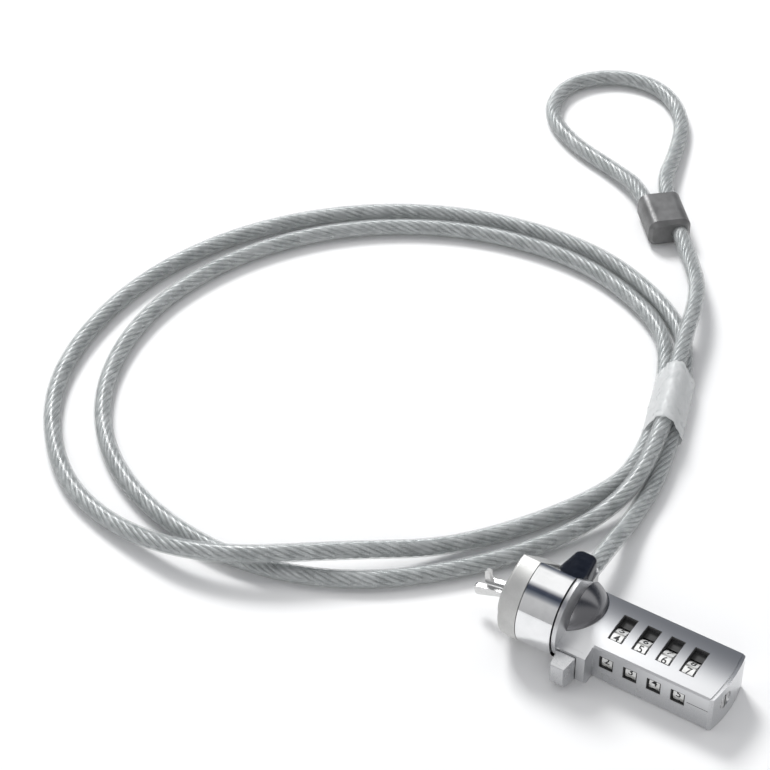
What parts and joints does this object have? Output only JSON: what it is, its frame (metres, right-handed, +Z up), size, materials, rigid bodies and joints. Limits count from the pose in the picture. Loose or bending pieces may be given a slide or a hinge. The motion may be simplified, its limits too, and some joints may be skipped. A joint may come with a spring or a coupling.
{
  "type": "laptop cable lock",
  "caption": "Number-dial laptop cable lock: chrome head with spring jaws and push button, swivelling steel cable coil, and a fixed loop held by a ferrule.",
  "frame": {"origin": "centre of the dial block's flat underside, on the surface the lock lies on", "axes": "+X runs from the nose along the lock to the dial end, +Y is the side the cable leaves from (the button is on -Y), +Z is up"},
  "size_m": [0.1997, 0.2335, 0.022],
  "materials": {
    "satin_silver": "satin silver paint on a zinc casting",
    "polished_chrome": "mirror polished",
    "pewter": "fine matte pewter grey",
    "steel": "fine machined",
    "dark_steel": "satin",
    "dial_metal": "satin silver with black digits",
    "sleeve_brass": "machined",
    "black_gloss": "glossy moulded",
    "inner_black": "matte moulded",
    "cable_sleeve": "clear soft sleeve over silver steel rope",
    "tie_film": "translucent matte film",
    "ferrule_grey": "satin dark grey"
  },
  "bodies": {
    "lock": {"upper_shell": "satin_silver", "lower_shell": "satin_silver", "end_cap": "satin_silver", "shell_screws": "dark_steel", "head_band": "polished_chrome", "nose_ring": "pewter", "nose_pad": "pewter", "jaw_carrier": "dark_steel", "jaw_pin": "steel", "front_bushing": "sleeve_brass", "rear_bushing": "sleeve_brass", "dial_spacers": "inner_black", "detent_spring": "steel", "swivel_pin": "steel", "return_spring": "steel"},
    "button": {"push_button": "satin_silver", "release_slide": "dark_steel"},
    "spindle": {"code_spindle": "steel"},
    "jaw_above": {"upper_jaw": "steel"},
    "jaw_below": {"lower_jaw": "steel"},
    "set_screw": {"code_set_screw": "steel"},
    "swivel": {"swivel_block": "steel", "swivel_cap": "black_gloss", "cable_end_crimp": "steel", "cable_lead": "cable_sleeve", "cable_outer_turn": "cable_sleeve", "cable_inner_turn": "cable_sleeve", "cable_tail": "cable_sleeve", "cable_loop": "cable_sleeve", "cable_tie": "tie_film", "cable_ferrule": "ferrule_grey"},
    "dial_1_set": {"dial_1": "dial_metal", "code_sleeve_1": "sleeve_brass"},
    "dial_2_set": {"dial_2": "dial_metal", "code_sleeve_2": "sleeve_brass"},
    "dial_3_set": {"dial_3": "dial_metal", "code_sleeve_3": "sleeve_brass"},
    "dial_4_set": {"dial_4": "dial_metal", "code_sleeve_4": "sleeve_brass"}
  },
  "joints": [
    {"name": "button_press", "type": "slide", "parent": "lock", "child": "button", "axis": [0, 1, 0], "range_m": [0, 0.0022], "stiffness_N_per_m": 450, "springref_m": -0.0015, "deforming": ["return_spring"]},
    {"name": "spindle_slide", "type": "slide", "parent": "lock", "child": "spindle", "axis": [1, 0, 0], "range_m": [0, 0.0012]},
    {"name": "upper_jaw_hinge", "type": "hinge", "parent": "lock", "child": "jaw_above", "pos_m": [-0.0334, -0.0027, 0.009], "axis": [0, -1, 0], "range_deg": [0, 12]},
    {"name": "lower_jaw_hinge", "type": "hinge", "parent": "lock", "child": "jaw_below", "pos_m": [-0.0334, -0.0027, 0.009], "axis": [0, 1, 0], "range_deg": [0, 12]},
    {"name": "set_screw_turn", "type": "hinge", "parent": "lock", "child": "set_screw", "pos_m": [0.0148, -0.0029, 0.006], "axis": [1, 0, 0], "range_deg": [0, 90]},
    {"name": "cable_swivel", "type": "hinge", "parent": "lock", "child": "swivel", "pos_m": [-0.0274, 0.0046, 0.009], "axis": [0, 0, 1], "range_deg": [-20, 0]},
    {"name": "dial_1_turn", "type": "hinge", "parent": "lock", "child": "dial_1_set", "pos_m": [-0.01096, -0.0029, 0.006], "axis": [1, 0, 0], "continuous": true},
    {"name": "dial_2_turn", "type": "hinge", "parent": "lock", "child": "dial_2_set", "pos_m": [-0.00502, -0.0029, 0.006], "axis": [1, 0, 0], "continuous": true},
    {"name": "dial_3_turn", "type": "hinge", "parent": "lock", "child": "dial_3_set", "pos_m": [0.00092, -0.0029, 0.006], "axis": [1, 0, 0], "continuous": true},
    {"name": "dial_4_turn", "type": "hinge", "parent": "lock", "child": "dial_4_set", "pos_m": [0.00686, -0.0029, 0.006], "axis": [1, 0, 0], "continuous": true}
  ],
  "couplings": [
    {"joint": "spindle_slide", "follows": "button_press", "ratio": 0.545},
    {"joint": "upper_jaw_hinge", "follows": "button_press", "rad_per_m": 95},
    {"joint": "lower_jaw_hinge", "follows": "button_press", "rad_per_m": 95}
  ]
}
